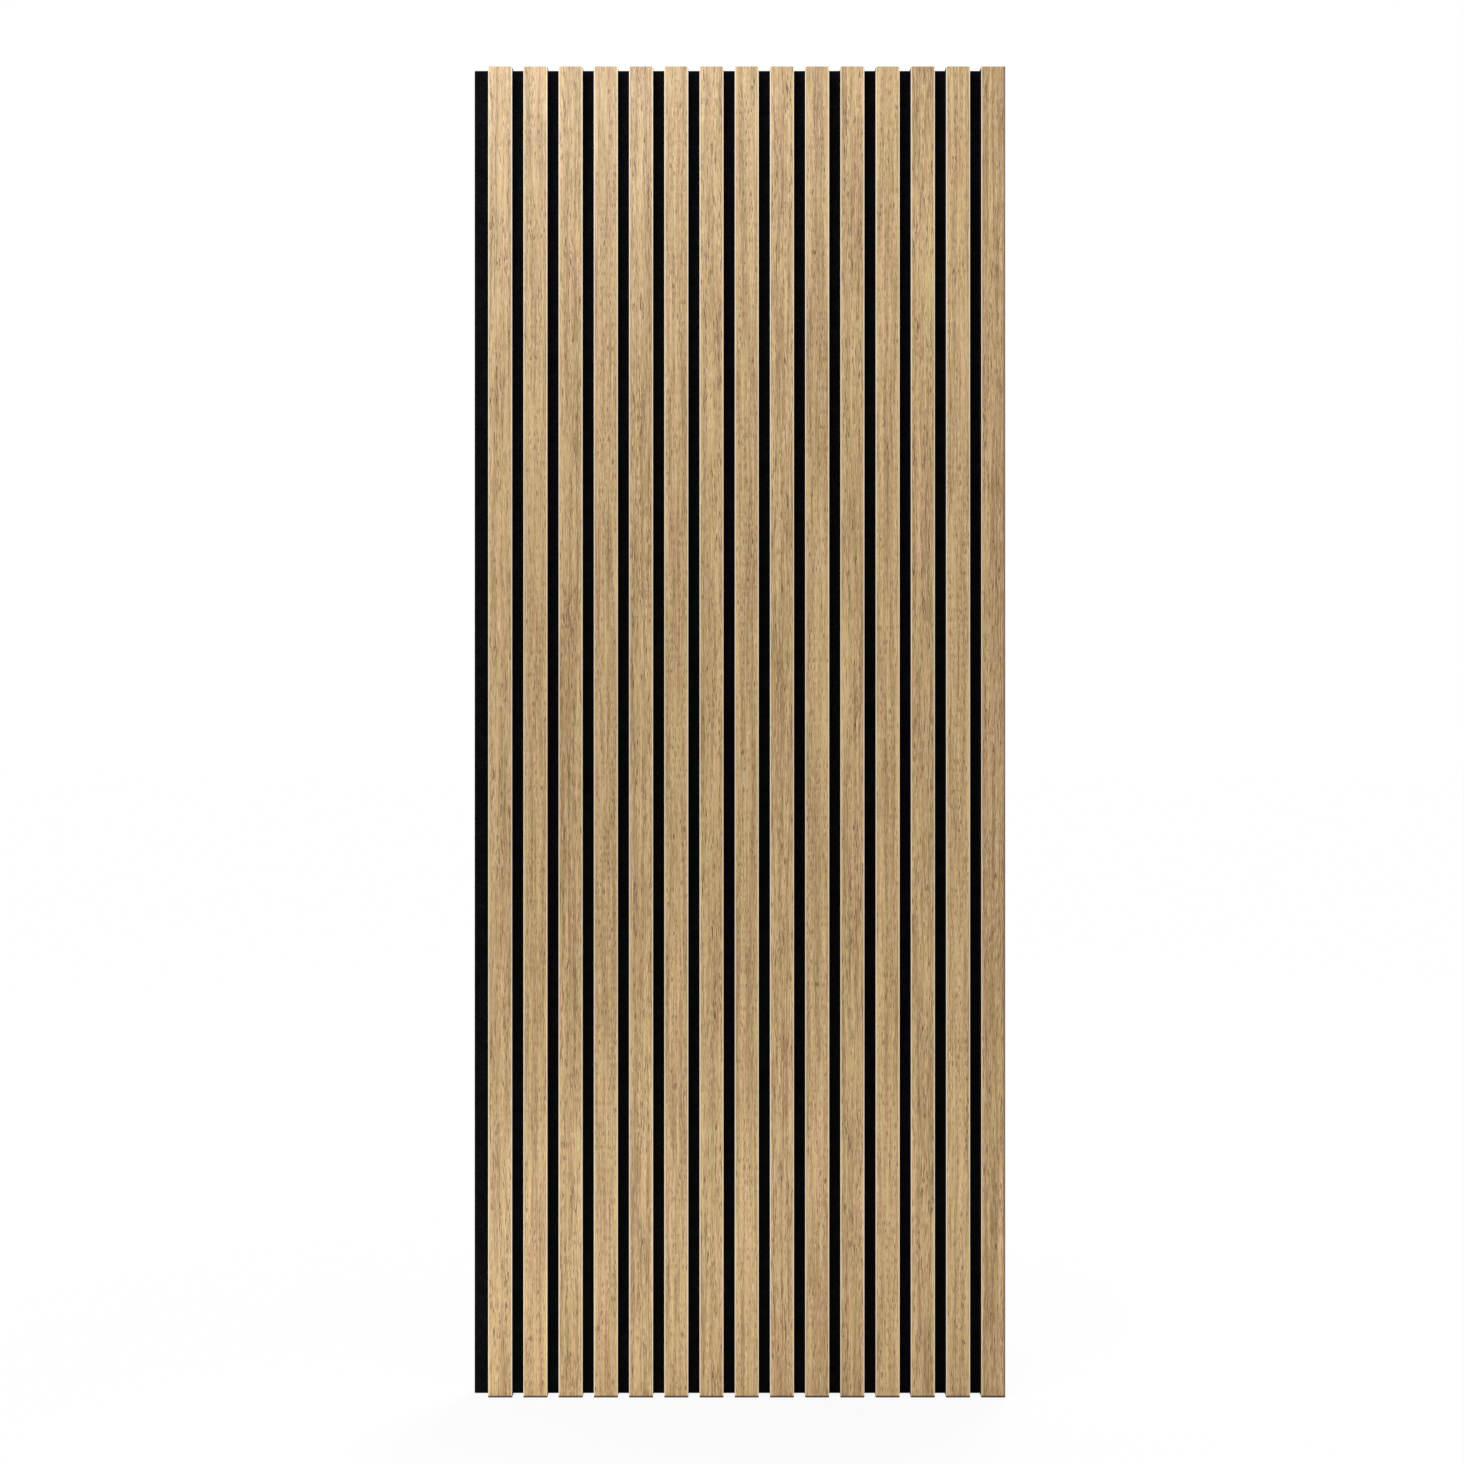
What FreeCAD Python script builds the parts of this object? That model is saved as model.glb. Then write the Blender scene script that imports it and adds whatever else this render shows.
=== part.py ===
import FreeCAD, Part
import os

# Acoustic slat wall panel: veneered slats side by side on a board of pressed
# black felt. The slats let sound through to the felt, which soaks it up.
#
# Each slat is a strip of black through-dyed MDF with an oak veneer glued on
# its face, ripped from one wide veneered board, so its sides show black MDF.
# Staples driven in from the back of the felt hold every slat, and their
# crowns lie flush with the back, so that the panel sits flat on a wall.
# The felt runs out past the first slat as a bare lip, which the last slat of
# the next panel stands beside. At the other side the last slat ends flush.
#
# X runs across the panel, Z up along the slats, and the slats face -Y.
# The origin is the centre of the felt's back face, which lies on the wall.

# Driving dimensions in millimetres

panel_length = 1500.0  # felt and slats alike

slat_count = 15
slat_width = 27.0
slat_gap = 12.7  # bare felt between one slat and the next
lip_width = 17.2  # bare felt beside the first slat

felt_thickness = 9.0
core_thickness = 11.4
veneer_thickness = 0.6
veneer_arris = 0.3  # radius that sanding leaves on the long front edges

staple_rows = 5
staple_end_distance = 100.0  # from each end of the panel to the nearest row
staple_crown = 5.7  # over the outside of the two legs
staple_wire_thickness = 1.05  # in the plane of the bend
staple_wire_width = 1.25
staple_bend_flat = 0.8  # flat across the outside of each bend, measured along both sides
staple_bite = 7.0  # how far the legs reach into the slat
staple_point = 1.6  # length of the chisel cut at a leg's end
staple_point_flat = 0.25  # what the chisel cut leaves of the wire

# Places worked out from them

panel_width = lip_width + slat_count * slat_width + (slat_count - 1) * slat_gap
left_edge = -panel_width / 2
bottom_edge = -panel_length / 2

back_face = 0.0
felt_face = back_face - felt_thickness
core_face = felt_face - core_thickness
front_face = core_face - veneer_thickness


def slat_left(index):
    """Left side of a slat, counted from 0 at the lip."""
    return left_edge + lip_width + index * (slat_width + slat_gap)


def staple_centres(index):
    """Middle of the crown of each staple behind one slat, from the bottom row up."""
    x = slat_left(index) + slat_width / 2
    lowest = bottom_edge + staple_end_distance
    spacing = (panel_length - 2 * staple_end_distance) / (staple_rows - 1)
    return [FreeCAD.Vector(x, back_face, lowest + row * spacing) for row in range(staple_rows)]


def line(start, end):
    """Straight edge between two points of an outline drawn across the slats."""
    return Part.LineSegment(FreeCAD.Vector(*start, 0), FreeCAD.Vector(*end, 0)).toShape()


def corner(start, centre, end):
    """Quarter turn from start to end about centre."""
    middle = FreeCAD.Vector(start[0] + end[0] - 2 * centre[0], start[1] + end[1] - 2 * centre[1], 0)
    radius = FreeCAD.Vector(start[0] - centre[0], start[1] - centre[1], 0).Length
    middle.normalize()
    middle = FreeCAD.Vector(*centre, 0) + middle * radius
    return Part.Arc(FreeCAD.Vector(*start, 0), middle, FreeCAD.Vector(*end, 0)).toShape()


def run_of(edges, bottom, length):
    """Solid of one section, drawn flat, that runs straight up from bottom."""
    solid = Part.Face(Part.Wire(edges)).extrude(FreeCAD.Vector(0, 0, length))
    solid.translate(FreeCAD.Vector(0, 0, bottom))
    return solid


# Staple: a U of flat steel wire, bent at the crown and cut to a chisel point.
# Each bend is one flat outside and square inside, because 75 staples repeat it.


def staple():
    """One staple with the back of its crown on the origin and its legs along -Y."""
    outer = staple_crown / 2
    inner = outer - staple_wire_thickness
    crown_inside = -staple_wire_thickness
    crown_end = outer - staple_bend_flat
    tip = -(felt_thickness + staple_bite)
    shoulder = tip + staple_point
    tip_inside = outer - staple_point_flat

    right_half = [
        (crown_end, 0),
        (outer, -staple_bend_flat),
        (outer, tip),
        (tip_inside, tip),
        (inner, shoulder),
        (inner, crown_inside),
    ]
    left_half = [(-x, y) for x, y in reversed(right_half)]
    outline = right_half + left_half
    edges = [line(start, end) for start, end in zip(outline, outline[1:] + outline[:1])]
    return run_of(edges, -staple_wire_width / 2, staple_wire_width)


def staples_behind(index):
    """The staples that hold one slat, where they were driven."""
    driven = []
    for centre in staple_centres(index):
        one = staple()
        one.translate(centre)
        driven.append(one)
    return Part.makeCompound(driven)


# Felt board: one flat board, pierced where the staples were driven


def felt_board(all_staples):
    """The felt, with a seat in its back for each crown and a slit for each leg."""
    board = Part.makeBox(
        panel_width,
        felt_thickness,
        panel_length,
        FreeCAD.Vector(left_edge, felt_face, bottom_edge),
    )
    return board.cut(all_staples)


# Slat: an MDF core and the veneer on its face


def slat_core(index, its_staples):
    """Square-edged MDF strip with the pockets that the staple legs cut in its back."""
    strip = Part.makeBox(
        slat_width,
        core_thickness,
        panel_length,
        FreeCAD.Vector(slat_left(index), core_face, bottom_edge),
    )
    return strip.cut(its_staples)


def slat_veneer(index):
    """Veneer as wide as the core, its two long front edges rounded by sanding."""
    left = slat_left(index)
    right = left + slat_width
    arris_left = left + veneer_arris
    arris_right = right - veneer_arris
    arris_start = front_face + veneer_arris

    edges = [
        line((left, core_face), (left, arris_start)),
        corner((left, arris_start), (arris_left, arris_start), (arris_left, front_face)),
        line((arris_left, front_face), (arris_right, front_face)),
        corner((arris_right, front_face), (arris_right, arris_start), (right, arris_start)),
        line((right, arris_start), (right, core_face)),
        line((right, core_face), (left, core_face)),
    ]
    return run_of(edges, bottom_edge, panel_length)


def single_solid(shape):
    """The one solid of a shape that a cut has wrapped in a compound."""
    (solid,) = shape.Solids
    return solid


# Build and write one STEP file for each piece


def panel():
    """Every piece of the panel by name. The staples are one group of solids."""
    staples = [staples_behind(index) for index in range(slat_count)]
    all_staples = Part.makeCompound([one for group in staples for one in group.Solids])

    pieces = {
        "felt_board": single_solid(felt_board(all_staples)),
        "staples": all_staples,
    }
    for index in range(slat_count):
        number = f"{index + 1:02d}"
        pieces["slat_core_" + number] = single_solid(slat_core(index, staples[index]))
        pieces["slat_veneer_" + number] = slat_veneer(index)
    return pieces


os.makedirs("parts", exist_ok=True)
for name, shape in panel().items():
    shape.exportStep("parts/" + name + ".step")
    volume = sum(solid.Volume for solid in shape.Solids)
    box = shape.BoundBox
    print(
        f"{name}: {len(shape.Solids)} solid(s), {volume / 1000:.1f} cm3, "
        f"{box.XLength:.1f} x {box.YLength:.1f} x {box.ZLength:.1f} mm, valid {shape.isValid()}"
    )
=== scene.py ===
import math
import random

import bpy
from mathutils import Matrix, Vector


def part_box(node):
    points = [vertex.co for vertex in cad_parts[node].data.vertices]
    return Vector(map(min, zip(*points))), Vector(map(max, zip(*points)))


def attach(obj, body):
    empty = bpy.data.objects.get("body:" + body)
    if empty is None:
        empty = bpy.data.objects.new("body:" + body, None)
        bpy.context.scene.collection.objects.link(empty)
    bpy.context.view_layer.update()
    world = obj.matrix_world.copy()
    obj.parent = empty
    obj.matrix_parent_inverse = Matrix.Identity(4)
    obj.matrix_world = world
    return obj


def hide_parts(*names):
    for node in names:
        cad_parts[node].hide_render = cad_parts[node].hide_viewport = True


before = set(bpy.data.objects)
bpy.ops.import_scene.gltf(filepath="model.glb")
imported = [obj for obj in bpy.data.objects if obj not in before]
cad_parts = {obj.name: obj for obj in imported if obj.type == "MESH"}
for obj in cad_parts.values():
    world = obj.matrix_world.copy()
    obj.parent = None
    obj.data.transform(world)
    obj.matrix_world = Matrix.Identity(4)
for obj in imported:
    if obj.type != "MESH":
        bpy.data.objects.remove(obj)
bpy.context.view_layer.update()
scene = bpy.context.scene


# Camera. The panel is seen from straight in front at half its height, from
# about 1.9 m away, and stands a little to the right of the middle of the view.

camera_data = bpy.data.cameras.new("camera")
camera_data.sensor_width = 36.0
camera_data.lens = 41.7
camera_data.clip_start = 0.01
camera = bpy.data.objects.new("camera", camera_data)
camera.location = (-0.008, -1.932, 0.0)
camera.rotation_euler = (math.radians(90), 0, 0)
scene.collection.objects.link(camera)
scene.camera = camera


# Felt board: one board of black polyester felt, needled and hot pressed, cut
# to size with a knife. The cut edges go soft, and every staple pulls the back
# in a little. The slats are glued and stapled to its front.

mm = 0.001
board_low, board_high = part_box("felt_board")
edge_radius = 1.3 * mm  # the knife's edge goes round as the fibres spring back
staple_dimple = 0.45 * mm  # how far a staple pulls the back in beside its crown
felt_unevenness = 0.12 * mm  # how far the press leaves a face from flat
wave_count = 14
pressed_across = 2.8 * mm  # from a staple's middle, what its crown holds flat
pressed_up = 0.7 * mm
dimple_across = 2.6 * mm  # how fast the dimple runs out beyond that
dimple_up = 2.4 * mm


def linear(code):
    """Linear red, green, blue and alpha of an sRGB hex colour."""
    parts = [int(code[i : i + 2], 16) / 255 for i in (1, 3, 5)]
    parts = [c / 12.92 if c <= 0.04045 else ((c + 0.055) / 1.055) ** 2.4 for c in parts]
    return (*parts, 1.0)


def add_node(tree, kind, inputs=None, **settings):
    """Adds a node, gives it its settings, and links or sets its inputs."""
    node = tree.nodes.new(kind)
    for name, value in settings.items():
        setattr(node, name, value)
    for key, value in (inputs or {}).items():
        if isinstance(value, bpy.types.NodeSocket):
            tree.links.new(value, node.inputs[key])
        else:
            node.inputs[key].default_value = value
    return node


veneers = [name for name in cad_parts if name.startswith("slat_veneer_")]
veneers.sort()
slat_boxes = [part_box(name) for name in veneers]
slat_middles = [(low[0] + high[0]) / 2 for low, high in slat_boxes]
slat_width = slat_boxes[0][1][0] - slat_boxes[0][0][0]
slat_length = slat_boxes[0][1][2] - slat_boxes[0][0][2]

staple_low, staple_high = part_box("staples")
staple_wire_width = 1.25 * mm
staple_rows = 5
row_bottom = staple_low[2] + staple_wire_width / 2
row_top = staple_high[2] - staple_wire_width / 2
row_heights = [
    row_bottom + (row_top - row_bottom) * i / (staple_rows - 1) for i in range(staple_rows)
]


def lines_along(low, high, spacing, places, offsets):
    """Places of the mesh lines along one side: even, closer at the ends and round each staple."""
    count = round((high - low) / spacing)
    found = {round(low + (high - low) * i / count, 6) for i in range(count + 1)}
    for step in (0.25, 0.6, 1.0):
        found.add(round(low + step * edge_radius, 6))
        found.add(round(high - step * edge_radius, 6))
    for place in places:
        found.update(round(place + offset * mm, 6) for offset in offsets)
    kept = []
    for value in sorted(found):
        if not kept or value - kept[-1] > 0.2 * mm:
            kept.append(value)
    return kept


# millimetres from a staple's middle to the mesh lines beside it
beside_crown = (-7, -4.5, -3, -1.5, 0, 1.5, 3, 4.5, 7)
beside_row = (-6, -3.5, -2, -0.8, 0, 0.8, 2, 3.5, 6)
across_lines = lines_along(board_low[0], board_high[0], 12 * mm, slat_middles, beside_crown)
up_lines = lines_along(board_low[2], board_high[2], 14 * mm, row_heights, beside_row)
deep_lines = lines_along(board_low[1], board_high[1], 2.5 * mm, [], ())

felt_noise = random.Random(4)
felt_waves = []
for _ in range(wave_count):
    turn = felt_noise.uniform(0, math.tau)
    length = felt_noise.uniform(25 * mm, 110 * mm)
    start = felt_noise.uniform(0, math.tau)
    felt_waves.append((math.cos(turn) / length, math.sin(turn) / length, start))


def felt_surface(x, y, z):
    """Point of the soft board for a point of the sharp one."""
    point = [x, y, z]
    core = [
        min(max(value, low + edge_radius), high - edge_radius)
        for value, low, high in zip(point, board_low, board_high)
    ]
    away = [value - middle for value, middle in zip(point, core)]
    reach = math.sqrt(sum(value * value for value in away))
    point = [middle + value / reach * edge_radius for middle, value in zip(core, away)]
    facing = away[1] / reach
    wave = sum(math.sin(math.tau * (x * a + z * b) + c) for a, b, c in felt_waves) / wave_count
    point[1] -= facing * felt_unevenness * (0.5 + 0.5 * wave)
    if facing > 0.99:
        nearest_x = min(slat_middles, key=lambda middle: abs(middle - x))
        nearest_z = min(row_heights, key=lambda height: abs(height - z))
        beyond_x = max(abs(x - nearest_x) - pressed_across, 0) / dimple_across
        beyond_z = max(abs(z - nearest_z) - pressed_up, 0) / dimple_up
        point[1] -= staple_dimple * math.exp(-(beyond_x * beyond_x + beyond_z * beyond_z))
    return point


def board_side(axis, at_high):
    """Grid of points, in rows, over the side of the board that faces along one axis."""
    lines = [across_lines, deep_lines, up_lines]
    fixed = lines[axis][-1 if at_high else 0]
    first, second = [other for other in range(3) if other != axis]
    rows = []
    for a in lines[first]:
        row = []
        for b in lines[second]:
            point = [0, 0, 0]
            point[axis] = fixed
            point[first] = a
            point[second] = b
            row.append(tuple(point))
        rows.append(row)
    return rows


felt_points = {}
felt_faces = []
for axis in range(3):
    for at_high in (False, True):
        rows = board_side(axis, at_high)
        for lower, upper in zip(rows, rows[1:]):
            for i in range(len(lower) - 1):
                ring = [lower[i], upper[i], upper[i + 1], lower[i + 1]]
                if at_high == (axis == 1):
                    ring.reverse()
                felt_faces.append([felt_points.setdefault(p, len(felt_points)) for p in ring])

felt_mesh = bpy.data.meshes.new("felt")
felt_mesh.from_pydata([felt_surface(*p) for p in felt_points], [], felt_faces)
felt_mesh.shade_smooth()
# how many loose fibres stand here: most on the cut edges, none under a slat
fuzz_on_front = 0.35
fuzz_on_back = 0.16
fuzz_on_cut = 0.7
slat_cover = slat_width / 2 + 0.5 * mm
fuzz = felt_mesh.attributes.new("fuzz", "FLOAT", "POINT")
for (x, y, z), index in felt_points.items():
    if y == deep_lines[0]:
        covered = any(abs(x - middle) < slat_cover for middle in slat_middles)
        fuzz.data[index].value = 0.0 if covered else fuzz_on_front
    elif y == deep_lines[-1]:
        fuzz.data[index].value = fuzz_on_back
    else:
        fuzz.data[index].value = fuzz_on_cut
felt = bpy.data.objects.new("felt", felt_mesh)
scene.collection.objects.link(felt)

# Needled polyester felt, dyed black in the fibre: a dull black that scatters
# light from loose fibre ends, with paler fibres here and there.
felt_finish = bpy.data.materials.new("needled_polyester_felt_black")
felt_finish.use_nodes = True
tree = felt_finish.node_tree
tree.nodes.clear()
place = add_node(tree, "ShaderNodeTexCoord")
# fibres 0.02 mm thick can't show, so the tangle is drawn 0.7 mm wide
tangle = add_node(
    tree,
    "ShaderNodeTexNoise",
    {"Vector": place.outputs["Object"], "Scale": 1400.0, "Detail": 3.0, "Distortion": 1.6},
)
clumps = add_node(
    tree,
    "ShaderNodeTexNoise",
    {"Vector": place.outputs["Object"], "Scale": 160.0, "Detail": 2.0},
)
pale_fibres = add_node(
    tree,
    "ShaderNodeMapRange",
    {"Value": tangle.outputs["Fac"], "From Min": 0.5, "From Max": 0.72},
)
# the web is laid in thin clouds, 10 to 20 mm across, which needling doesn't even out
clouds = add_node(
    tree,
    "ShaderNodeTexNoise",
    {"Vector": place.outputs["Object"], "Scale": 75.0, "Detail": 4.0, "Roughness": 0.65},
)
cloud_range = add_node(
    tree,
    "ShaderNodeMapRange",
    {"Value": clouds.outputs["Fac"], "From Min": 0.4, "From Max": 0.66, "To Min": 0.3},
)
pale_here = add_node(
    tree,
    "ShaderNodeMath",
    {0: pale_fibres.outputs["Result"], 1: cloud_range.outputs["Result"]},
    operation="MULTIPLY",
)
felt_colour = add_node(
    tree,
    "ShaderNodeMix",
    {"Factor": pale_here.outputs["Value"], 6: linear("#050506"), 7: linear("#2B2C30")},
    data_type="RGBA",
)
felt_height = add_node(
    tree,
    "ShaderNodeMath",
    {0: clumps.outputs["Fac"], 1: 0.5, 2: tangle.outputs["Fac"]},
    operation="MULTIPLY_ADD",
)
felt_bump = add_node(
    tree,
    "ShaderNodeBump",
    {"Height": felt_height.outputs["Value"], "Strength": 0.8, "Distance": 0.4 * mm},
)
felt_shader = add_node(
    tree,
    "ShaderNodeBsdfPrincipled",
    {
        "Base Color": felt_colour.outputs[2],
        "Normal": felt_bump.outputs["Normal"],
        "Roughness": 0.95,
        "IOR": 1.45,
        "Specular IOR Level": 0.03,
        "Sheen Weight": 0.02,
        "Sheen Roughness": 0.5,
    },
)
add_node(tree, "ShaderNodeOutputMaterial", {"Surface": felt_shader.outputs["BSDF"]})
felt_mesh.materials.append(felt_finish)
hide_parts("felt_board")
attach(felt, "root")


# Loose fibres of the felt: ends that the needles and the knife left standing.
# They are thickest on the cut edges, and lie nearly flat on the faces.

fibre_tree = bpy.data.node_groups.new("loose_fibres", "GeometryNodeTree")
fibre_tree.interface.new_socket("Geometry", in_out="OUTPUT", socket_type="NodeSocketGeometry")
fibre_tree.interface.new_socket("Geometry", in_out="INPUT", socket_type="NodeSocketGeometry")
fibre_sizes = {
    "Fibres per square metre": 36000.0,
    "Fibre length": 2.2 * mm,
    "Fibre thickness": 0.1 * mm,  # drawn five times too thick, so that they show
    "Fibre rise": 0.3 * mm,
    "Fibre bend": 0.6 * mm,
}
for name in fibre_sizes:
    fibre_tree.interface.new_socket(name, in_out="INPUT", socket_type="NodeSocketFloat")
given = add_node(fibre_tree, "NodeGroupInput")
fuzz_here = add_node(
    fibre_tree,
    "GeometryNodeInputNamedAttribute",
    {"Name": "fuzz"},
    data_type="FLOAT",
)
density = add_node(
    fibre_tree,
    "ShaderNodeMath",
    {0: fuzz_here.outputs["Attribute"], 1: given.outputs["Fibres per square metre"]},
    operation="MULTIPLY",
)
roots = add_node(
    fibre_tree,
    "GeometryNodeDistributePointsOnFaces",
    {"Mesh": given.outputs["Geometry"], "Density": density.outputs["Value"], "Seed": 11},
)
half = add_node(
    fibre_tree,
    "ShaderNodeMath",
    {0: given.outputs["Fibre length"], 1: 0.5},
    operation="MULTIPLY",
)
fibre_middle = add_node(
    fibre_tree,
    "ShaderNodeCombineXYZ",
    {
        "X": half.outputs["Value"],
        "Y": given.outputs["Fibre bend"],
        "Z": given.outputs["Fibre rise"],
    },
)
fibre_end = add_node(fibre_tree, "ShaderNodeCombineXYZ", {"X": given.outputs["Fibre length"]})
# each fibre comes out of the felt, bends over and ends at the face
fibre_line = add_node(
    fibre_tree,
    "GeometryNodeCurveQuadraticBezier",
    {
        "Resolution": 2,
        "Start": (0.0, 0.0, -0.1 * mm),
        "Middle": fibre_middle.outputs["Vector"],
        "End": fibre_end.outputs["Vector"],
    },
)
fibre_radius = add_node(
    fibre_tree,
    "ShaderNodeMath",
    {0: given.outputs["Fibre thickness"], 1: 0.5},
    operation="MULTIPLY",
)
fibre_round = add_node(
    fibre_tree,
    "GeometryNodeCurvePrimitiveCircle",
    {"Resolution": 3, "Radius": fibre_radius.outputs["Value"]},
)
fibre = add_node(
    fibre_tree,
    "GeometryNodeCurveToMesh",
    {
        "Curve": fibre_line.outputs["Curve"],
        "Profile Curve": fibre_round.outputs["Curve"],
        "Fill Caps": True,
    },
)
turn = add_node(
    fibre_tree,
    "FunctionNodeRandomValue",
    {"Min": (0.0, -0.05, 0.0), "Max": (0.0, 0.05, math.tau), "Seed": 3},
    data_type="FLOAT_VECTOR",
)
turned = add_node(fibre_tree, "FunctionNodeEulerToRotation", {"Euler": turn.outputs["Value"]})
lay = add_node(
    fibre_tree,
    "FunctionNodeRotateRotation",
    {"Rotation": roots.outputs["Rotation"], "Rotate By": turned.outputs["Rotation"]},
    rotation_space="LOCAL",
)
size = add_node(
    fibre_tree,
    "FunctionNodeRandomValue",
    {2: 0.45, 3: 1.0, "Seed": 8},
    data_type="FLOAT",
)
scattered = add_node(
    fibre_tree,
    "GeometryNodeInstanceOnPoints",
    {
        "Points": roots.outputs["Points"],
        "Instance": fibre.outputs["Mesh"],
        "Rotation": lay.outputs["Rotation"],
        "Scale": size.outputs[1],
    },
)
real_fibres = add_node(
    fibre_tree,
    "GeometryNodeRealizeInstances",
    {"Geometry": scattered.outputs["Instances"]},
)
# none goes below the panel's lower end, or more than 0.1 mm past its back
fibre_place = add_node(fibre_tree, "GeometryNodeInputPosition")
off_floor = add_node(
    fibre_tree,
    "ShaderNodeVectorMath",
    {0: fibre_place.outputs["Position"], 1: (-1.0, -1.0, board_low[2])},
    operation="MAXIMUM",
)
off_wall = add_node(
    fibre_tree,
    "ShaderNodeVectorMath",
    {0: off_floor.outputs["Vector"], 1: (1.0, 0.1 * mm, 1.0)},
    operation="MINIMUM",
)
kept_clear = add_node(
    fibre_tree,
    "GeometryNodeSetPosition",
    {"Geometry": real_fibres.outputs["Geometry"], "Position": off_wall.outputs["Vector"]},
)
finished = add_node(
    fibre_tree,
    "GeometryNodeSetMaterial",
    {"Geometry": kept_clear.outputs["Geometry"], "Material": felt_finish},
)
add_node(fibre_tree, "NodeGroupOutput", {"Geometry": finished.outputs["Geometry"]})


def grown(base_mesh, group, sizes, name):
    """Plain mesh object that a node group makes from a mesh and named sizes."""
    maker = bpy.data.objects.new("maker", base_mesh)
    scene.collection.objects.link(maker)
    modifier = maker.modifiers.new("nodes", "NODES")
    modifier.node_group = group
    for item in group.interface.items_tree:
        if item.in_out == "INPUT" and item.name in sizes:
            modifier[item.identifier] = sizes[item.name]
    graph = bpy.context.evaluated_depsgraph_get()
    made = bpy.data.meshes.new_from_object(maker.evaluated_get(graph))
    bpy.data.objects.remove(maker)
    made.name = name
    result = bpy.data.objects.new(name, made)
    scene.collection.objects.link(result)
    return result


felt_fibres = grown(felt_mesh, fibre_tree, fibre_sizes, "felt_fibres")
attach(felt_fibres, "root")


# Slat cores: strips of MDF dyed black right through, ripped from a wide board
# on a panel saw. The sides are as the saw left them, dull black with fine grey
# fibre, and the ends are cross-cut.

mdf = bpy.data.materials.new("sawn_mdf_dyed_black")
mdf.use_nodes = True
tree = mdf.node_tree
tree.nodes.clear()
place = add_node(tree, "ShaderNodeTexCoord")
# wood fibre in the board, matted flat by the press: flecks 0.4 by 1.5 mm
mdf_fleck_place = add_node(
    tree,
    "ShaderNodeVectorMath",
    {0: place.outputs["Object"], 1: (1400.0, 2600.0, 700.0)},
    operation="MULTIPLY",
)
mdf_fleck = add_node(
    tree,
    "ShaderNodeTexNoise",
    {"Vector": mdf_fleck_place.outputs["Vector"], "Scale": 1.0, "Detail": 3.0},
)
# marks of the saw, about 2 mm apart along the cut
saw_place = add_node(
    tree,
    "ShaderNodeVectorMath",
    {0: place.outputs["Object"], 1: (60.0, 90.0, 520.0)},
    operation="MULTIPLY",
)
saw_marks = add_node(
    tree,
    "ShaderNodeTexNoise",
    {"Vector": saw_place.outputs["Vector"], "Scale": 1.0, "Detail": 1.0},
)
mdf_pale = add_node(
    tree,
    "ShaderNodeMapRange",
    {"Value": mdf_fleck.outputs["Fac"], "From Min": 0.5, "From Max": 0.8},
)
mdf_colour = add_node(
    tree,
    "ShaderNodeMix",
    {
        "Factor": mdf_pale.outputs["Result"],
        6: linear("#121113"),
        7: linear("#343234"),
    },
    data_type="RGBA",
)
mdf_height = add_node(
    tree,
    "ShaderNodeMath",
    {0: saw_marks.outputs["Fac"], 1: 0.6, 2: mdf_fleck.outputs["Fac"]},
    operation="MULTIPLY_ADD",
)
mdf_bump = add_node(
    tree,
    "ShaderNodeBump",
    {"Height": mdf_height.outputs["Value"], "Strength": 0.5, "Distance": 0.2 * mm},
)
mdf_shader = add_node(
    tree,
    "ShaderNodeBsdfPrincipled",
    {
        "Base Color": mdf_colour.outputs[2],
        "Normal": mdf_bump.outputs["Normal"],
        "Roughness": 0.8,
        "IOR": 1.45,
        "Specular IOR Level": 0.15,
    },
)
add_node(tree, "ShaderNodeOutputMaterial", {"Surface": mdf_shader.outputs["BSDF"]})
for name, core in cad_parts.items():
    if name.startswith("slat_core_"):
        core.data.materials.clear()
        core.data.materials.append(mdf)


# Slat faces: sliced oak veneer, glued to the board before it was ripped into
# slats, sanded and given a matt lacquer. Sanding rounds the long edges, and a
# pale line along them is a painted highlight.

veneer_low, veneer_high = slat_boxes[0]
oak_tree = bpy.data.node_groups.new("veneered_faces", "GeometryNodeTree")
oak_tree.interface.new_socket("Geometry", in_out="OUTPUT", socket_type="NodeSocketGeometry")
oak_tree.interface.new_socket("Geometry", in_out="INPUT", socket_type="NodeSocketGeometry")
face_sizes = {
    "First slat middle": slat_middles[0],
    "Slat pitch": slat_middles[1] - slat_middles[0],
    "Slat width": slat_width,
    "Slat length": slat_length,
    "Bottom": veneer_low[2],
    "Veneer middle": (veneer_low[1] + veneer_high[1]) / 2,
    "Veneer thickness": veneer_high[1] - veneer_low[1],
    "Arris radius": 0.3 * mm,
}
for name in face_sizes:
    oak_tree.interface.new_socket(name, in_out="INPUT", socket_type="NodeSocketFloat")
given = add_node(oak_tree, "NodeGroupInput")
section = add_node(
    oak_tree,
    "GeometryNodeCurvePrimitiveQuadrilateral",
    {"Width": given.outputs["Slat width"], "Height": given.outputs["Veneer thickness"]},
    mode="RECTANGLE",
)
corner_place = add_node(oak_tree, "GeometryNodeInputPosition")
corner_parts = add_node(
    oak_tree,
    "ShaderNodeSeparateXYZ",
    {"Vector": corner_place.outputs["Position"]},
)
at_front = add_node(
    oak_tree,
    "ShaderNodeMath",
    {0: corner_parts.outputs["Y"], 1: 0.0},
    operation="LESS_THAN",
)
corner_radius = add_node(
    oak_tree,
    "ShaderNodeMath",
    {0: at_front.outputs["Value"], 1: given.outputs["Arris radius"]},
    operation="MULTIPLY",
)
eased = add_node(
    oak_tree,
    "GeometryNodeFilletCurve",
    {
        "Curve": section.outputs["Curve"],
        "Radius": corner_radius.outputs["Value"],
        "Limit Radius": True,
        "Count": 3,
    },
    mode="POLY",
)
end_face = add_node(
    oak_tree,
    "GeometryNodeFillCurve",
    {"Curve": eased.outputs["Curve"]},
    mode="NGONS",
)
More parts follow.
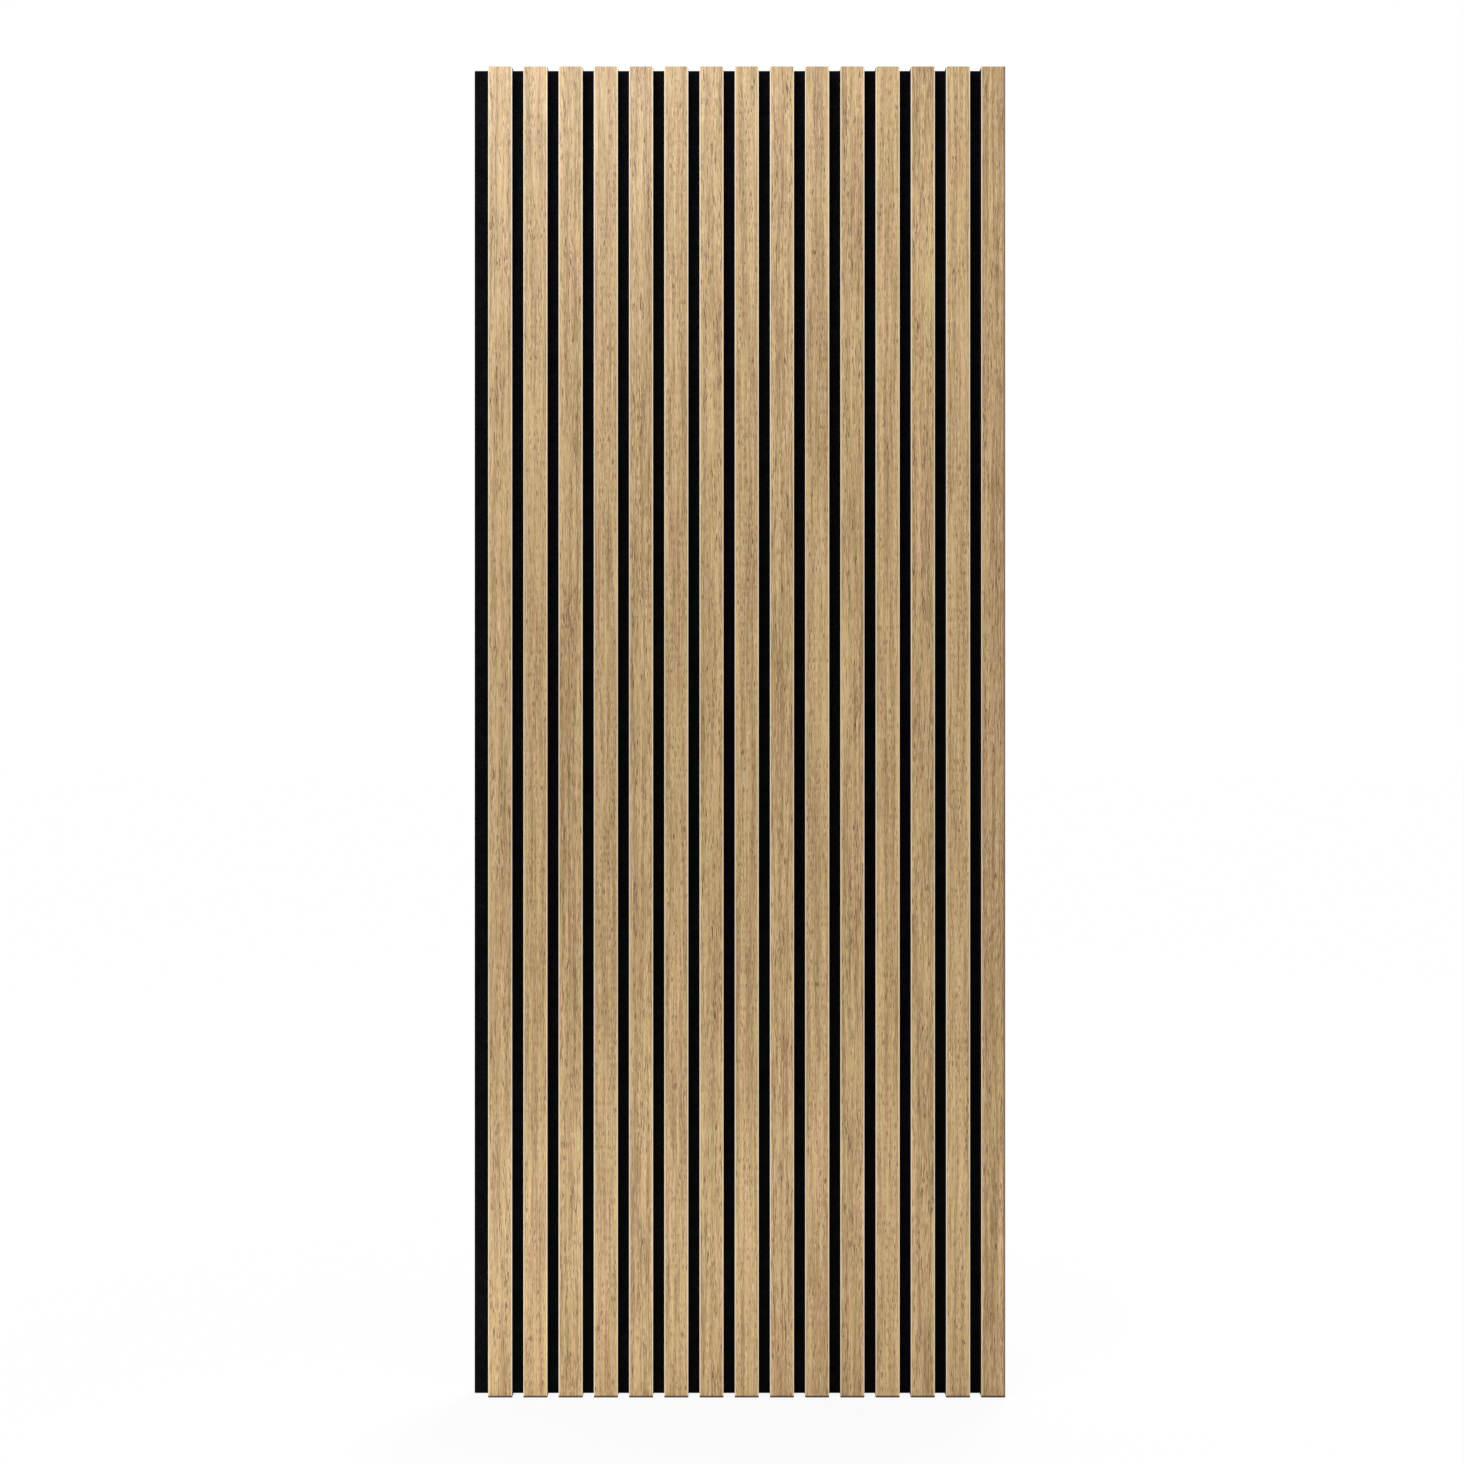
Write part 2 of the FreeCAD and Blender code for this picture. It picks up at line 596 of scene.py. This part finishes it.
upwards = add_node(oak_tree, "ShaderNodeCombineXYZ", {"Z": 1.0})
raised = add_node(
    oak_tree,
    "GeometryNodeExtrudeMesh",
    {
        "Mesh": end_face.outputs["Mesh"],
        "Offset": upwards.outputs["Vector"],
        "Offset Scale": given.outputs["Slat length"],
        "Individual": False,
    },
    mode="FACES",
)
bottom_end = add_node(oak_tree, "GeometryNodeFlipFaces", {"Mesh": end_face.outputs["Mesh"]})
closed = add_node(oak_tree, "GeometryNodeJoinGeometry")
oak_tree.links.new(raised.outputs["Mesh"], closed.inputs["Geometry"])
oak_tree.links.new(bottom_end.outputs["Mesh"], closed.inputs["Geometry"])
welded = add_node(
    oak_tree,
    "GeometryNodeMergeByDistance",
    {"Geometry": closed.outputs["Geometry"], "Distance": 0.01 * mm},
)
# millimetres from the middle of the slat, which the material reads
face_place = add_node(oak_tree, "GeometryNodeInputPosition")
face_parts = add_node(oak_tree, "ShaderNodeSeparateXYZ", {"Vector": face_place.outputs["Position"]})
across = add_node(
    oak_tree,
    "ShaderNodeMath",
    {0: face_parts.outputs["X"], 1: 1 / mm},
    operation="MULTIPLY",
)
with_across = add_node(
    oak_tree,
    "GeometryNodeStoreNamedAttribute",
    {"Geometry": welded.outputs["Geometry"], "Name": "across", "Value": across.outputs["Value"]},
    data_type="FLOAT",
    domain="POINT",
)
pitch_step = add_node(oak_tree, "ShaderNodeCombineXYZ", {"X": given.outputs["Slat pitch"]})
first_place = add_node(
    oak_tree,
    "ShaderNodeCombineXYZ",
    {
        "X": given.outputs["First slat middle"],
        "Y": given.outputs["Veneer middle"],
        "Z": given.outputs["Bottom"],
    },
)
row_of_slats = add_node(
    oak_tree,
    "GeometryNodeMeshLine",
    {
        "Count": len(veneers),
        "Start Location": first_place.outputs["Vector"],
        "Offset": pitch_step.outputs["Vector"],
    },
    mode="OFFSET",
)
slats = add_node(
    oak_tree,
    "GeometryNodeInstanceOnPoints",
    {"Points": row_of_slats.outputs["Mesh"], "Instance": with_across.outputs["Geometry"]},
)
slat_index = add_node(oak_tree, "GeometryNodeInputIndex")
numbered = add_node(
    oak_tree,
    "GeometryNodeStoreNamedAttribute",
    {
        "Geometry": slats.outputs["Instances"],
        "Name": "slat_number",
        "Value": slat_index.outputs["Index"],
    },
    data_type="FLOAT",
    domain="INSTANCE",
)
# slats differ a little in tone at random, and the last is made darker than the rest
slat_shade = add_node(
    oak_tree,
    "FunctionNodeRandomValue",
    {2: -1.0, 3: 1.0, "Seed": 21},
    data_type="FLOAT",
)
is_last = add_node(
    oak_tree,
    "ShaderNodeMath",
    {0: slat_index.outputs["Index"], 1: len(veneers) - 1.5},
    operation="GREATER_THAN",
)
with_last = add_node(
    oak_tree,
    "ShaderNodeMath",
    {0: is_last.outputs["Value"], 1: -1.4, 2: slat_shade.outputs[1]},
    operation="MULTIPLY_ADD",
)
shaded = add_node(
    oak_tree,
    "GeometryNodeStoreNamedAttribute",
    {
        "Geometry": numbered.outputs["Geometry"],
        "Name": "slat_shade",
        "Value": with_last.outputs["Value"],
    },
    data_type="FLOAT",
    domain="INSTANCE",
)
real_slats = add_node(
    oak_tree,
    "GeometryNodeRealizeInstances",
    {"Geometry": shaded.outputs["Geometry"]},
)

# Sliced oak under matt lacquer: straight pale brown grain with short dark
# pores and pale flecks of ray, and hardly any shine.
oak = bpy.data.materials.new("sliced_oak_veneer_matt_lacquer")
oak.use_nodes = True
finished = add_node(
    oak_tree,
    "GeometryNodeSetMaterial",
    {"Geometry": real_slats.outputs["Geometry"], "Material": oak},
)
add_node(oak_tree, "NodeGroupOutput", {"Geometry": finished.outputs["Geometry"]})

tree = oak.node_tree
tree.nodes.clear()
place = add_node(tree, "ShaderNodeTexCoord")
number = add_node(tree, "ShaderNodeAttribute", attribute_name="slat_number")
shade = add_node(tree, "ShaderNodeAttribute", attribute_name="slat_shade")
from_middle = add_node(tree, "ShaderNodeAttribute", attribute_name="across")
# each slat shows another part of the veneer, in millimetres from here on
jump = add_node(
    tree,
    "ShaderNodeVectorMath",
    {0: (53.0, 17.0, 611.0), "Scale": number.outputs["Fac"]},
    operation="SCALE",
)
in_mm = add_node(
    tree,
    "ShaderNodeVectorMath",
    {0: place.outputs["Object"], 1: (1 / mm, 1 / mm, 1 / mm), 2: jump.outputs["Vector"]},
    operation="MULTIPLY_ADD",
)
# the grain wanders about 1 mm to either side over 100 mm
wander_place = add_node(
    tree,
    "ShaderNodeVectorMath",
    {0: in_mm.outputs["Vector"], 1: (0.05, 0.05, 0.011)},
    operation="MULTIPLY",
)
wander = add_node(
    tree,
    "ShaderNodeTexNoise",
    {"Vector": wander_place.outputs["Vector"], "Scale": 1.0, "Detail": 2.0},
)
sideways = add_node(
    tree,
    "ShaderNodeMath",
    {0: wander.outputs["Fac"], 1: 4.0, 2: -2.0},
    operation="MULTIPLY_ADD",
)
sideways_vector = add_node(tree, "ShaderNodeCombineXYZ", {"X": sideways.outputs["Value"]})
grain = add_node(
    tree,
    "ShaderNodeVectorMath",
    {0: in_mm.outputs["Vector"], 1: sideways_vector.outputs["Vector"]},
    operation="ADD",
)

# name: width across the grain, length along it (mm), detail, place in the noise;
# the fibre is finer than 0.1 mm in life and drawn 0.4 mm wide, so that it shows
grain_sizes = {
    "bands": (5.0, 210.0, 2.0, 0.0),
    "hue": (2.6, 120.0, 1.0, 40.0),
    "streaks": (0.6, 95.0, 2.0, 80.0),
    "fibre": (0.38, 8.5, 2.0, 120.0),
    "pores": (0.4, 8.5, 1.0, 160.0),
    "pore_rows": (3.2, 60.0, 1.0, 200.0),
    "rays": (0.45, 26.0, 1.0, 240.0),
}
figure = {}
for name, (wide, long, detail, start) in grain_sizes.items():
    stretched = add_node(
        tree,
        "ShaderNodeVectorMath",
        {0: grain.outputs["Vector"], 1: (1 / wide, 1 / wide, 1 / long), 2: (start, start, start)},
        operation="MULTIPLY_ADD",
    )
    noise = add_node(
        tree,
        "ShaderNodeTexNoise",
        {"Vector": stretched.outputs["Vector"], "Scale": 1.0, "Detail": detail},
    )
    figure[name] = noise.outputs["Fac"]

# tone: bands, streaks and fibre together, from dark to light wood
tone = -0.5
tone_shares = (
    (figure["bands"], 1.0),
    (figure["streaks"], 1.1),
    (figure["fibre"], 0.9),
    (shade.outputs["Fac"], 0.04),
)
for source, weight in tone_shares:
    tone = add_node(
        tree,
        "ShaderNodeMath",
        {0: source, 1: weight, 2: tone},
        operation="MULTIPLY_ADD",
    ).outputs["Value"]
tone_range = add_node(
    tree,
    "ShaderNodeMapRange",
    {"Value": tone, "From Min": 0.745, "From Max": 1.225},
)
yellow_wood = add_node(
    tree,
    "ShaderNodeMix",
    {"Factor": tone_range.outputs["Result"], 6: linear("#987A47"), 7: linear("#D6B87B")},
    data_type="RGBA",
)
pink_wood = add_node(
    tree,
    "ShaderNodeMix",
    {"Factor": tone_range.outputs["Result"], 6: linear("#A0784E"), 7: linear("#DCB483")},
    data_type="RGBA",
)
hue_range = add_node(
    tree,
    "ShaderNodeMapRange",
    {"Value": figure["hue"], "From Min": 0.4, "From Max": 0.62, "To Max": 1.0},
)
wood = add_node(
    tree,
    "ShaderNodeMix",
    {
        "Factor": hue_range.outputs["Result"],
        6: yellow_wood.outputs[2],
        7: pink_wood.outputs[2],
    },
    data_type="RGBA",
)
# rays cut across show as pale flecks
ray_mask = add_node(
    tree,
    "ShaderNodeMapRange",
    {"Value": figure["rays"], "From Min": 0.56, "From Max": 0.66, "To Max": 0.65},
)
with_rays = add_node(
    tree,
    "ShaderNodeMix",
    {"Factor": ray_mask.outputs["Result"], 6: wood.outputs[2], 7: linear("#E2CBA2")},
    data_type="RGBA",
)
# pores are 0.3 mm wide in life and drawn 0.4 mm wide, so that they show
pore_mask = add_node(
    tree,
    "ShaderNodeMapRange",
    {"Value": figure["pores"], "From Min": 0.55, "From Max": 0.61},
)
pore_rows = add_node(
    tree,
    "ShaderNodeMapRange",
    {"Value": figure["pore_rows"], "From Min": 0.38, "From Max": 0.62, "To Min": 0.25},
)
pores_here = add_node(
    tree,
    "ShaderNodeMath",
    {0: pore_mask.outputs["Result"], 1: pore_rows.outputs["Result"]},
    operation="MULTIPLY",
)
with_pores = add_node(
    tree,
    "ShaderNodeMix",
    {"Factor": pores_here.outputs["Value"], 6: with_rays.outputs[2], 7: linear("#5C3C1D")},
    data_type="RGBA",
)
# painted highlight along the rounded arris, paler over the last 1.7 mm
half_width = slat_width / mm / 2
to_edge = add_node(tree, "ShaderNodeMath", {0: from_middle.outputs["Fac"]}, operation="ABSOLUTE")
arris_highlight_mask = add_node(
    tree,
    "ShaderNodeMapRange",
    {
        "Value": to_edge.outputs["Value"],
        "From Min": half_width - 1.7,
        "From Max": half_width - 0.4,
        "To Max": 0.95,
    },
)
with_arris_highlight = add_node(
    tree,
    "ShaderNodeMix",
    {"Factor": arris_highlight_mask.outputs["Result"], 6: with_pores.outputs[2], 7: linear("#F0DDBC")},
    data_type="RGBA",
)
# the outer side of the last slat has no painted arris highlight, and painted shade darkens it over
# 3 mm
is_last_here = add_node(
    tree,
    "ShaderNodeMath",
    {0: number.outputs["Fac"], 1: len(veneers) - 1.5},
    operation="GREATER_THAN",
)
towards_outside = add_node(
    tree,
    "ShaderNodeMath",
    {0: is_last_here.outputs["Value"], 1: from_middle.outputs["Fac"]},
    operation="MULTIPLY",
)
outside_shade_mask = add_node(
    tree,
    "ShaderNodeMapRange",
    {
        "Value": towards_outside.outputs["Value"],
        "From Min": half_width - 3.0,
        "From Max": half_width - 0.7,
    },
)
with_outside_shade = add_node(
    tree,
    "ShaderNodeMix",
    {"Factor": outside_shade_mask.outputs["Result"], 6: with_arris_highlight.outputs[2], 7: linear("#70543A")},
    data_type="RGBA",
)
# painted shade: the foot of each slat is darkened over its lowest 2.8 mm, as contact shadow where
# it meets the floor
up_and_down = add_node(tree, "ShaderNodeSeparateXYZ", {"Vector": place.outputs["Object"]})
foot_shade_mask = add_node(
    tree,
    "ShaderNodeMapRange",
    {
        "Value": up_and_down.outputs["Z"],
        "From Min": -slat_length / 2 + 2.8 * mm,
        "From Max": -slat_length / 2 + 1.3 * mm,
    },
)
with_foot_shade = add_node(
    tree,
    "ShaderNodeMix",
    {"Factor": foot_shade_mask.outputs["Result"], 6: with_outside_shade.outputs[2], 7: linear("#241A12")},
    data_type="RGBA",
)
oak_height = add_node(
    tree,
    "ShaderNodeMath",
    {0: pores_here.outputs["Value"], 1: -1.0, 2: figure["fibre"]},
    operation="MULTIPLY_ADD",
)
oak_bump = add_node(
    tree,
    "ShaderNodeBump",
    {"Height": oak_height.outputs["Value"], "Strength": 0.35, "Distance": 0.12 * mm},
)
oak_dullness = add_node(
    tree,
    "ShaderNodeMapRange",
    {"Value": figure["fibre"], "From Min": 0.3, "From Max": 0.7, "To Min": 0.42, "To Max": 0.55},
)
oak_shader = add_node(
    tree,
    "ShaderNodeBsdfPrincipled",
    {
        "Base Color": with_foot_shade.outputs[2],
        "Roughness": oak_dullness.outputs["Result"],
        "Normal": oak_bump.outputs["Normal"],
        "IOR": 1.5,
    },
)
add_node(tree, "ShaderNodeOutputMaterial", {"Surface": oak_shader.outputs["BSDF"]})

seed_mesh = bpy.data.meshes.new("seed")
oak_faces = grown(seed_mesh, oak_tree, face_sizes, "oak_faces")
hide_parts(*veneers)
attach(oak_faces, "root")


# Staples: galvanised flat wire, cut to a chisel point and bent over a former,
# driven from behind through the felt into each slat. Only the crowns show,
# flush with the back.

half_crown = 5.7 * mm / 2
wire = 1.05 * mm
inside_bend = 0.3 * mm
outside_bend = wire + inside_bend
bend_steps = 4
leg_end = staple_low[1]
point_length = 1.6 * mm
point_flat = 0.25 * mm  # what the chisel cut leaves of the wire


def bend(side, radius):
    """Points of one bend of the wire, from the leg round to the crown."""
    points = []
    for i in range(bend_steps + 1):
        turn = math.radians(90 / bend_steps * i)
        x = half_crown - wire - inside_bend + radius * math.cos(turn)
        points.append((side * x, -wire - inside_bend + radius * math.sin(turn)))
    return points


def leg(side):
    """Points of one leg, from its outer corner over the point to the end of its bend."""
    point = [
        (side * half_crown, leg_end),
        (side * (half_crown - point_flat), leg_end),
        (side * (half_crown - wire), leg_end + point_length),
    ]
    return point + bend(side, inside_bend)


# round the U: over the crown from right to left, then back along the inside
section = bend(1, outside_bend) + bend(-1, outside_bend)[::-1] + leg(-1) + leg(1)[::-1]
count = len(section)
vertices = [(x, y, z * staple_wire_width / 2) for z in (-1, 1) for x, y in section]
faces = [list(range(count))[::-1], list(range(count, 2 * count))]
faces += [[i, (i + 1) % count, (i + 1) % count + count, i + count] for i in range(count)]
staple_mesh = bpy.data.meshes.new("one_staple")
staple_mesh.from_pydata(vertices, [], faces)
one_staple = bpy.data.objects.new("one_staple", staple_mesh)
scene.collection.objects.link(one_staple)

staple_tree = bpy.data.node_groups.new("driven_staples", "GeometryNodeTree")
staple_tree.interface.new_socket("Geometry", in_out="OUTPUT", socket_type="NodeSocketGeometry")
staple_tree.interface.new_socket("Geometry", in_out="INPUT", socket_type="NodeSocketGeometry")
staple_tree.interface.new_socket("Staple", in_out="INPUT", socket_type="NodeSocketObject")
given = add_node(staple_tree, "NodeGroupInput")
shape = add_node(staple_tree, "GeometryNodeObjectInfo", {"Object": given.outputs["Staple"]})
driven = add_node(
    staple_tree,
    "GeometryNodeInstanceOnPoints",
    {"Points": given.outputs["Geometry"], "Instance": shape.outputs["Geometry"]},
)
real_staples = add_node(
    staple_tree,
    "GeometryNodeRealizeInstances",
    {"Geometry": driven.outputs["Instances"]},
)

# Galvanised steel wire: a grey metal that has dulled, brighter where it was drawn.
steel = bpy.data.materials.new("galvanised_steel_wire")
steel.use_nodes = True
finished = add_node(
    staple_tree,
    "GeometryNodeSetMaterial",
    {"Geometry": real_staples.outputs["Geometry"], "Material": steel},
)
add_node(staple_tree, "NodeGroupOutput", {"Geometry": finished.outputs["Geometry"]})
tree = steel.node_tree
tree.nodes.clear()
place = add_node(tree, "ShaderNodeTexCoord")
drawn_place = add_node(
    tree,
    "ShaderNodeVectorMath",
    {0: place.outputs["Object"], 1: (500.0, 6000.0, 9000.0)},
    operation="MULTIPLY",
)
drawn = add_node(
    tree,
    "ShaderNodeTexNoise",
    {"Vector": drawn_place.outputs["Vector"], "Scale": 1.0, "Detail": 2.0},
)
steel_colour = add_node(
    tree,
    "ShaderNodeMix",
    {"Factor": drawn.outputs["Fac"], 6: linear("#8E9093"), 7: linear("#C6C8CA")},
    data_type="RGBA",
)
steel_roughness = add_node(
    tree,
    "ShaderNodeMapRange",
    {
        "Value": drawn.outputs["Fac"],
        "From Min": 0.3,
        "From Max": 0.7,
        "To Min": 0.28,
        "To Max": 0.5,
    },
)
steel_shader = add_node(
    tree,
    "ShaderNodeBsdfPrincipled",
    {
        "Base Color": steel_colour.outputs[2],
        "Roughness": steel_roughness.outputs["Result"],
        "Metallic": 1.0,
    },
)
add_node(tree, "ShaderNodeOutputMaterial", {"Surface": steel_shader.outputs["BSDF"]})

seat_points = [(x, 0.0, z) for x in slat_middles for z in row_heights]
seat_mesh = bpy.data.meshes.new("seats")
seat_mesh.from_pydata(seat_points, [], [])
staples = grown(seat_mesh, staple_tree, {"Staple": one_staple}, "staple_wires")
bpy.data.objects.remove(one_staple)
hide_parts("staples")
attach(staples, "root")


# Floor: a plain white studio sweep under the panel's lower end. To the camera
# it is almost the white of the background, and it keeps a faint contact shadow.

floor_reach = 30.0
floor_corners = ((-1, -1), (1, -1), (1, 1), (-1, 1))
floor_mesh = bpy.data.meshes.new("floor")
floor_mesh.from_pydata(
    [(x * floor_reach, y * floor_reach, board_low[2]) for x, y in floor_corners],
    [],
    [(0, 1, 2, 3)],
)
floor = bpy.data.objects.new("floor", floor_mesh)
scene.collection.objects.link(floor)
white = bpy.data.materials.new("white_studio_floor")
white.use_nodes = True
tree = white.node_tree
tree.nodes.clear()
lit = add_node(tree, "ShaderNodeBsdfDiffuse", {"Color": linear("#EDEDED")})
glow = add_node(tree, "ShaderNodeEmission", {"Color": linear("#FFFFFF"), "Strength": 1.0})
ray = add_node(tree, "ShaderNodeLightPath")
seen = add_node(
    tree,
    "ShaderNodeMath",
    {0: ray.outputs["Is Camera Ray"], 1: ray.outputs["Is Glossy Ray"]},
    operation="MAXIMUM",
)
seen = add_node(
    tree,
    "ShaderNodeMath",
    {0: seen.outputs["Value"], 1: ray.outputs["Is Transmission Ray"]},
    operation="MAXIMUM",
)
floor_place = add_node(tree, "ShaderNodeTexCoord")
from_panel = add_node(
    tree,
    "ShaderNodeVectorMath",
    {0: floor_place.outputs["Object"]},
    operation="LENGTH",
)
# measured from the panel's middle, 0.75 m up: the floor turns to the white of
# the background over the first metre
whiter = add_node(
    tree,
    "ShaderNodeMapRange",
    {
        "Value": from_panel.outputs["Value"],
        "From Min": 0.76,
        "From Max": 1.3,
        "To Min": 0.9,
        "To Max": 0.995,
    },
)
share = add_node(
    tree,
    "ShaderNodeMath",
    {0: seen.outputs["Value"], 1: whiter.outputs["Result"]},
    operation="MULTIPLY",
)
both = add_node(
    tree,
    "ShaderNodeMixShader",
    {"Fac": share.outputs["Value"], 1: lit.outputs["BSDF"], 2: glow.outputs["Emission"]},
)
add_node(tree, "ShaderNodeOutputMaterial", {"Surface": both.outputs["Shader"]})
floor_mesh.materials.append(white)


# Studio light: a white room that the camera and reflections see at full
# strength, a square, slightly cool lamp above the panel's top, a strip lamp in
# front of its foot, and a large lamp behind it for the back.

world = bpy.data.worlds.new("white_room")
scene.world = world
world.use_nodes = True
tree = world.node_tree
tree.nodes.clear()
ray = add_node(tree, "ShaderNodeLightPath")
seen = add_node(
    tree,
    "ShaderNodeMath",
    {0: ray.outputs["Is Camera Ray"], 1: ray.outputs["Is Glossy Ray"]},
    operation="MAXIMUM",
)
seen = add_node(
    tree,
    "ShaderNodeMath",
    {0: seen.outputs["Value"], 1: ray.outputs["Is Transmission Ray"]},
    operation="MAXIMUM",
)
strength = add_node(
    tree,
    "ShaderNodeMath",
    {0: seen.outputs["Value"], 1: 0.4, 2: 0.6},
    operation="MULTIPLY_ADD",
)
room = add_node(
    tree,
    "ShaderNodeBackground",
    {"Color": linear("#FFFFFF"), "Strength": strength.outputs["Value"]},
)
add_node(tree, "ShaderNodeOutputWorld", {"Surface": room.outputs["Background"]})

# name: place, point it faces, width and height in metres, watts, colour of its light
lamps = {
    "top_lamp": ((-0.4, -0.9, 1.32), (0.0, 0.0, 0.75), 0.7, 0.7, 12.0, "#F0F4FF"),
    "foot_lamp": ((-0.3, -0.45, -0.67), (-0.1, 0.0, -0.72), 0.9, 0.1, 1.1, "#FFFFFF"),
    "back_lamp": ((1.2, 2.4, 1.6), (0.0, 0.0, 0.0), 1.8, 1.8, 90.0, "#FFFFFF"),
}
for name, (spot, target, wide, high, watts, colour) in lamps.items():
    lamp_data = bpy.data.lights.new(name, "AREA")
    lamp_data.shape = "RECTANGLE"
    lamp_data.size = wide
    lamp_data.size_y = high
    lamp_data.energy = watts
    lamp_data.color = linear(colour)[:3]
    lamp = bpy.data.objects.new(name, lamp_data)
    lamp.location = spot
    away = [a - b for a, b in zip(spot, target)]
    flat = math.hypot(away[0], away[1])
    lamp.rotation_euler = (math.atan2(flat, away[2]), 0, math.atan2(away[0], -away[1]))
    scene.collection.objects.link(lamp)

scene.view_settings.view_transform = "Standard"
